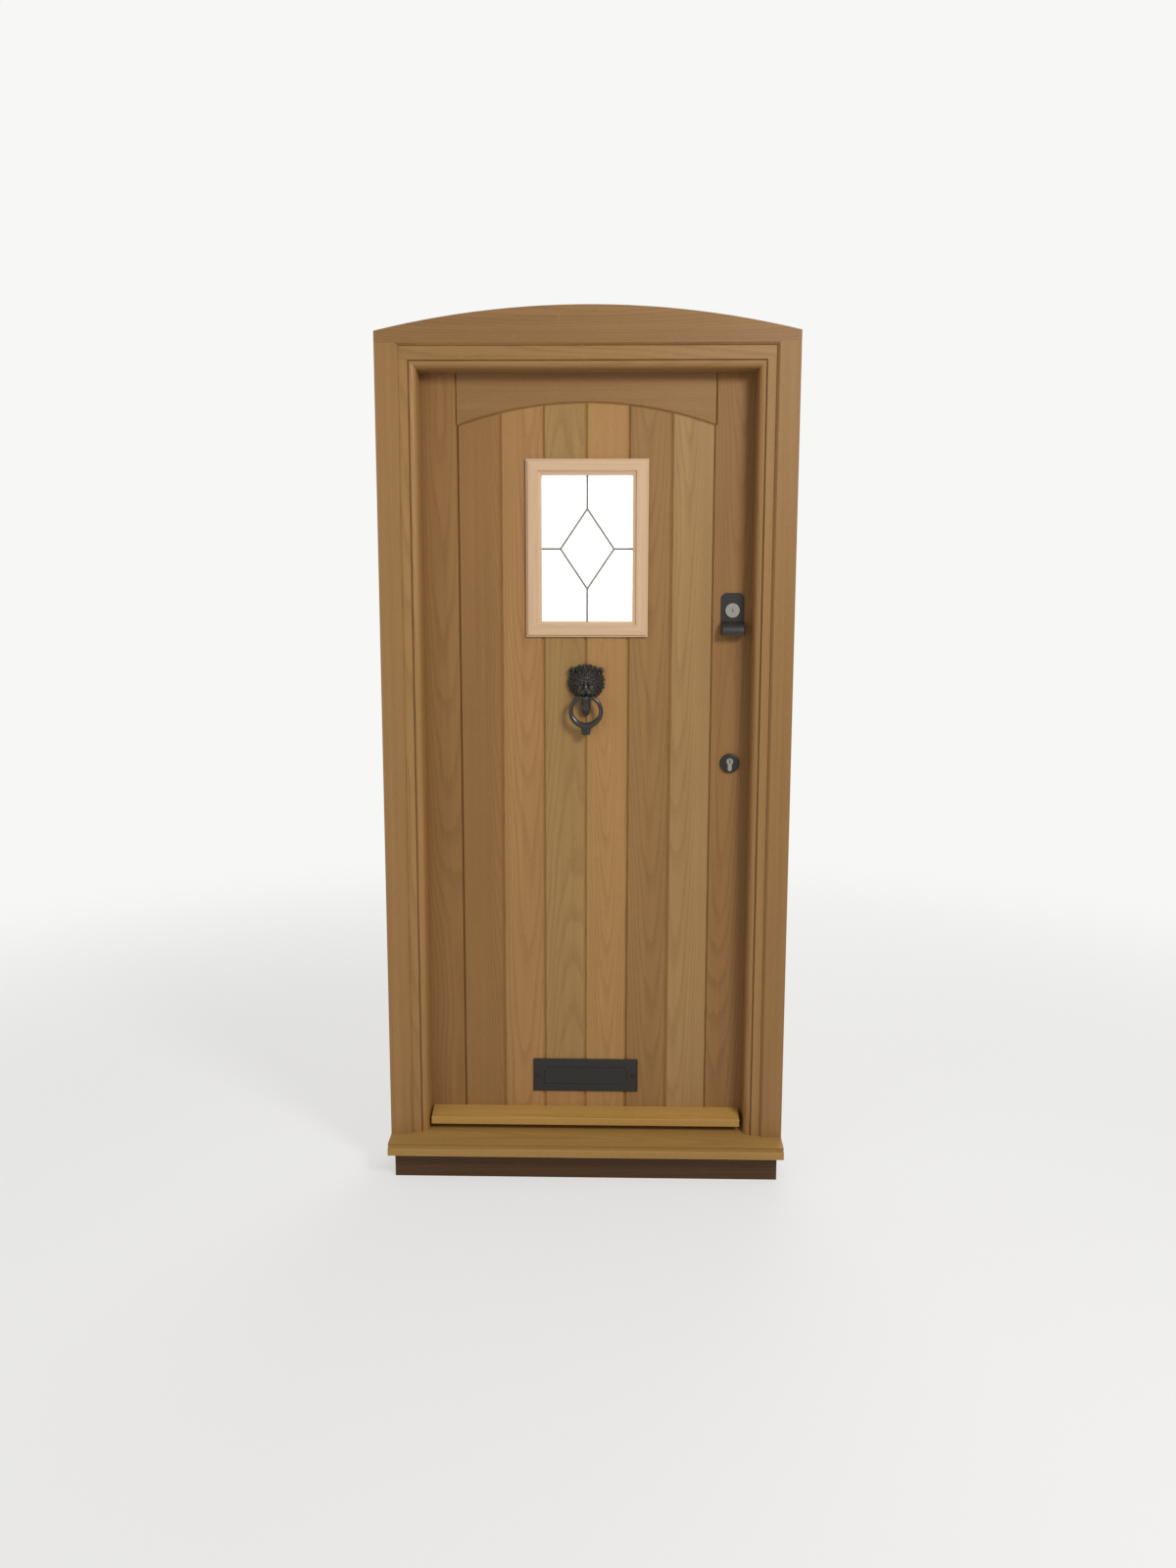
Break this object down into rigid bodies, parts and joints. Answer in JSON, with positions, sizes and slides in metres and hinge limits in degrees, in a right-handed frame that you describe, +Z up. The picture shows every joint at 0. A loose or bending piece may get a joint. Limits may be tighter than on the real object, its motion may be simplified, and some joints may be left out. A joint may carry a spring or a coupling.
{
  "type": "panelled front door with its frame",
  "caption": "Oak front door in an arched-top frame with sill, boarded leaf opening inwards, small leaded window, ring knocker, letter plate, night latch and key-operated dead lock.",
  "frame": {"origin": "middle of the doorway across, the frame's front face in depth, and the underside of the board under the sill", "axes": "+Z up, -Y towards the outside, +X to the right as seen from outside"},
  "size_m": [1.006, 0.227, 2.153],
  "materials": {
    "oak_frame": "oiled oak, satin",
    "oak_leaf": "oiled oak, satin",
    "oak_sill": "oiled oak, satin",
    "dark_oak": "dark stained, matt",
    "black_iron": "black painted casting, satin",
    "bright_steel": "polished nickel",
    "hinge_steel": "brushed",
    "lock_brass": "satin brass",
    "lead": "grey lead, dull",
    "obscure_glass": "obscure, rippled",
    "clear_glass": "clear",
    "spacer": "matt",
    "seal": "brown, matt"
  },
  "bodies": {
    "frame": {"jamb_left": "oak_frame", "jamb_right": "oak_frame", "frame_head": "oak_frame", "sill": "oak_sill", "sill_riser": "dark_oak", "arch_board": "oak_frame", "outer_strip_left": "oak_frame", "outer_strip_right": "oak_frame", "weather_seal": "seal", "hinge_frame_leaves": "hinge_steel", "hinge_pins": "hinge_steel", "frame_screws": "hinge_steel", "latch_keep": "lock_brass", "striking_plate": "hinge_steel"},
    "leaf": {"stile_hinge": "oak_leaf", "stile_lock": "oak_leaf", "top_rail": "oak_leaf", "middle_rail": "oak_leaf", "bottom_rail": "oak_leaf", "board_1": "oak_leaf", "board_2": "oak_leaf", "board_3_upper": "oak_leaf", "board_3_lower": "oak_leaf", "board_4_upper": "oak_leaf", "board_4_lower": "oak_leaf", "board_5": "oak_leaf", "board_6": "oak_leaf", "board_feet": "oak_leaf", "weatherboard": "oak_leaf", "window_lining": "oak_leaf", "window_beads": "oak_leaf", "window_inside_beads": "oak_leaf", "glass_outer": "obscure_glass", "glass_inner": "clear_glass", "glass_spacer": "spacer", "lead_strips": "lead", "hinge_door_leaves": "hinge_steel", "door_screws": "hinge_steel", "door_bolts": "black_iron", "door_nuts": "black_iron", "knocker_head": "black_iron", "knocker_stud": "black_iron", "letter_plate": "black_iron", "cylinder_pull": "black_iron", "rim_cylinder": "bright_steel", "latch_back_plate": "lock_brass", "latch_case": "lock_brass", "lock_case": "bright_steel", "profile_cylinder": "bright_steel", "escutcheons": "black_iron"},
    "knocker_ring": {"knocker_ring": "black_iron"},
    "letter_flap": {"letter_flap": "black_iron"},
    "latch_bolt": {"latch_bolt": "lock_brass"},
    "latch_knob": {"latch_knob": "lock_brass"},
    "latch_plug": {"rim_cylinder_plug": "bright_steel"},
    "latch_snib": {"latch_snib": "lock_brass"},
    "dead_bolt": {"dead_bolt": "lock_brass"},
    "lock_turn": {"cylinder_plug": "bright_steel", "cylinder_cam": "bright_steel", "thumb_turn": "bright_steel"}
  },
  "joints": [
    {"name": "door_swing", "type": "hinge", "parent": "frame", "child": "leaf", "pos_m": [-0.4205, 0.117, 1.06], "axis": [0, 0, 1], "range_deg": [0, 100]},
    {"name": "knocker_swing", "type": "hinge", "parent": "leaf", "child": "knocker_ring", "pos_m": [-0.002, 0.035, 1.23049], "axis": [-1, 0, 0], "range_deg": [0, 85]},
    {"name": "letter_flap_swing", "type": "hinge", "parent": "leaf", "child": "letter_flap", "pos_m": [-0.002, 0.05875, 0.26025], "axis": [1, 0, 0], "range_deg": [0, 80], "stiffness_Nm_per_rad": 0.04, "springref_deg": -11.46},
    {"name": "latch_bolt_slide", "type": "slide", "parent": "leaf", "child": "latch_bolt", "axis": [1, 0, 0], "range_m": [0, 0.014]},
    {"name": "latch_knob_turn", "type": "hinge", "parent": "leaf", "child": "latch_knob", "pos_m": [0.3595, 0.14, 1.446], "axis": [0, 1, 0], "range_deg": [0, 60]},
    {"name": "latch_plug_turn", "type": "hinge", "parent": "leaf", "child": "latch_plug", "pos_m": [0.3595, 0.06, 1.446], "axis": [0, 1, 0], "range_deg": [0, 60]},
    {"name": "latch_snib_slide", "type": "slide", "parent": "leaf", "child": "latch_snib", "axis": [1, 0, 0], "range_m": [0, 0.008]},
    {"name": "dead_bolt_slide", "type": "slide", "parent": "leaf", "child": "dead_bolt", "axis": [1, 0, 0], "range_m": [0, 0.02]},
    {"name": "lock_turn_turn", "type": "hinge", "parent": "leaf", "child": "lock_turn", "pos_m": [0.3595, 0.085, 1.0705], "axis": [0, 1, 0], "range_deg": [0, 360]}
  ],
  "couplings": [
    {"joint": "latch_knob_turn", "follows": "latch_bolt_slide", "rad_per_m": 74.792},
    {"joint": "latch_plug_turn", "follows": "latch_bolt_slide", "rad_per_m": 74.792},
    {"joint": "lock_turn_turn", "follows": "dead_bolt_slide", "rad_per_m": 314.13}
  ]
}
